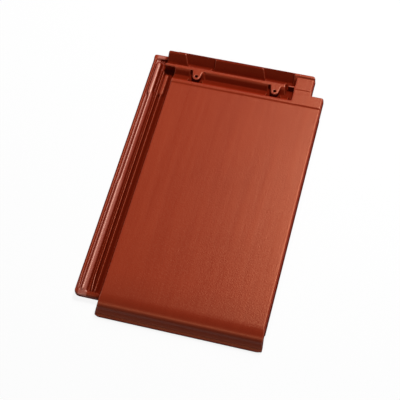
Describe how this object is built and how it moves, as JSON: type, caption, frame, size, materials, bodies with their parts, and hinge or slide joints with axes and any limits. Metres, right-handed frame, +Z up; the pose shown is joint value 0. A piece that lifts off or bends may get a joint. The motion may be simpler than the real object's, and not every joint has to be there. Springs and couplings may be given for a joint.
{
  "type": "clay roof tile",
  "caption": "Flat interlocking clay roof tile with a ribbed side lock, a double head lock with nail lugs and a rolled foot.",
  "frame": {"origin": "middle of the tile's footprint, on the level surface that it lies on", "axes": "+X across the tile from the side lock to the cover lock, +Y up the roof from the foot to the head, +Z up from the surface, out of the pan's weathered face"},
  "size_m": [0.295, 0.4844, 0.0305],
  "materials": {
    "fired_clay": "copper red engobe, satin, with a fine grain"
  },
  "bodies": {
    "root": {"roof_tile": "fired_clay"}
  },
  "joints": []
}
